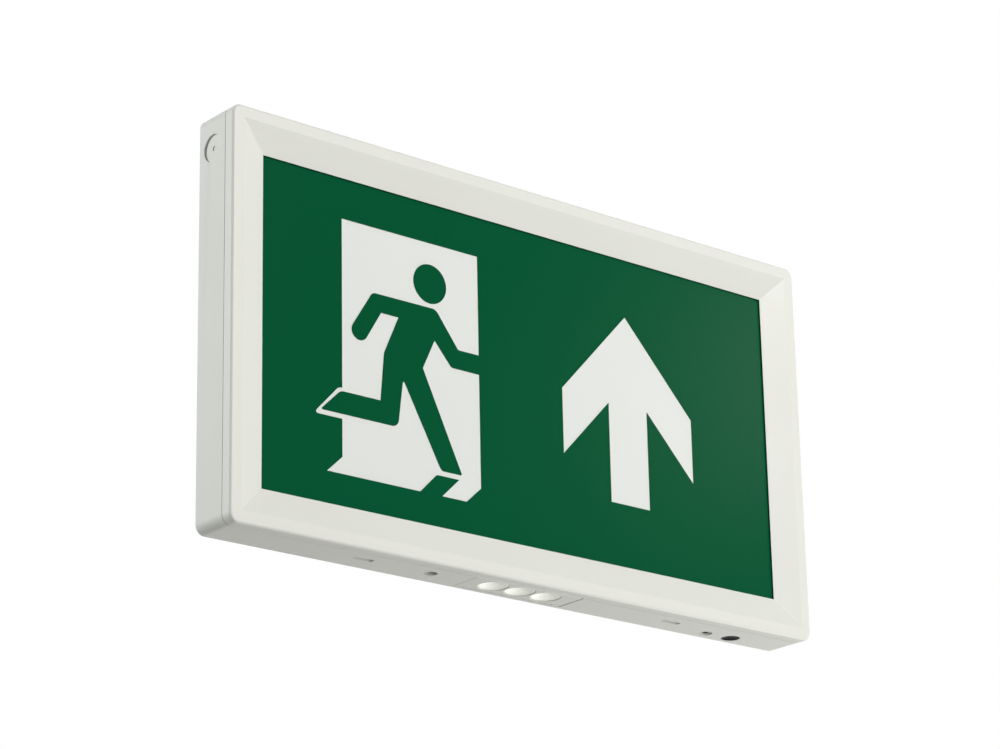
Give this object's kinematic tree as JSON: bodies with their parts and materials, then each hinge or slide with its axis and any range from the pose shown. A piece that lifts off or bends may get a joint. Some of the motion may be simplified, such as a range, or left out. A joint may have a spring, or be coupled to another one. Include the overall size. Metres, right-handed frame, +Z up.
{
  "type": "emergency exit light",
  "caption": "Slim wall-mounted emergency exit light with a green running-figure and arrow legend, bevelled front cover, downlight windows and test button",
  "frame": {"origin": "centre of the rear face, which lies on the wall", "axes": "+Y into the wall, so the sign faces -Y; +Z up; +X to the right of someone reading the sign"},
  "size_m": [0.37, 0.028, 0.208],
  "materials": {
    "battery_caps": "plain",
    "battery_sleeve": "yellow shrunk sleeve",
    "brass_contacts": "plain",
    "button_black": "glossy black",
    "capacitor_sleeve": "shrunk sleeve",
    "chip_black": "moulded package",
    "choke_copper": "shrunk sleeve",
    "circuit_board": "green solder mask",
    "clamp_plastic": "plain polyamide",
    "clear_lens": "clear moulding",
    "coil_tape": "yellow winding tape",
    "connector_white": "plain nylon",
    "cover_plastic": "fine satin moulding",
    "dish_opal": "opal moulding",
    "ferrite": "sintered ferrite",
    "fuse_glass": "glazed tube",
    "grommet_rubber": "soft",
    "housing_plastic": "fine matt moulding",
    "indicator_lens": "tinted lamp",
    "legend_green": "glossy printed film",
    "legend_opal": "glossy opal sheet",
    "light_board": "white solder mask",
    "light_source": "phosphor yellow",
    "reflector_white": "formed white sheet",
    "steel_screws": "zinc-plated",
    "switch_black": "plain",
    "switch_white": "plain",
    "terminal_plastic": "plain polyamide",
    "wire_black": "insulation",
    "wire_blue": "insulation",
    "wire_brown": "insulation",
    "wire_red": "insulation",
    "wire_white": "insulation"
  },
  "bodies": {
    "housing": {"battery_end_caps": "battery_caps", "battery_lead_black": "wire_black", "battery_lead_red": "wire_red", "battery_pack": "battery_sleeve", "battery_plug": "connector_white", "battery_socket": "connector_white", "cable_clamp": "clamp_plastic", "cable_clamp_screws": "steel_screws", "cable_grommet": "grommet_rubber", "choke": "choke_copper", "control_chip": "chip_black", "downlight_board": "light_board", "downlight_leads": "wire_white", "downlight_leds": "light_source", "downlight_lens": "dish_opal", "downlight_panel": "housing_plastic", "downlight_screws": "steel_screws", "driver_board": "circuit_board", "driver_board_screws": "steel_screws", "fuse": "fuse_glass", "indicator_led": "indicator_lens", "input_capacitor": "capacitor_sleeve", "input_connector": "connector_white", "lamp_connector": "connector_white", "led_strip_lower": "light_board", "led_strip_upper": "light_board", "live_lead": "wire_brown", "neutral_lead": "wire_blue", "output_capacitor": "capacitor_sleeve", "rear_body": "housing_plastic", "rectifier": "chip_black", "reflector": "reflector_white", "reflector_screws": "steel_screws", "strip_leads": "wire_white", "strip_leds": "light_source", "strip_lenses": "clear_lens", "strip_links": "wire_white", "switch_housing": "switch_black", "terminal_block": "terminal_plastic", "terminal_contacts": "brass_contacts", "terminal_screws": "steel_screws", "transformer_coil": "coil_tape", "transformer_core": "ferrite"},
    "cover": {"front_cover": "cover_plastic", "legend_print": "legend_green", "legend_panel": "legend_opal"},
    "button": {"test_button": "button_black", "switch_plunger": "switch_white"}
  },
  "joints": [
    {"name": "cover_tilt", "type": "hinge", "parent": "housing", "child": "cover", "pos_m": [0, -0.02173, 0.104], "axis": [-1, 0, 0], "range_deg": [0, 80]},
    {"name": "test_press", "type": "slide", "parent": "housing", "child": "button", "axis": [0, 0, 1], "range_m": [0, 0.0015], "stiffness_N_per_m": 600, "springref_m": -0.0015}
  ]
}
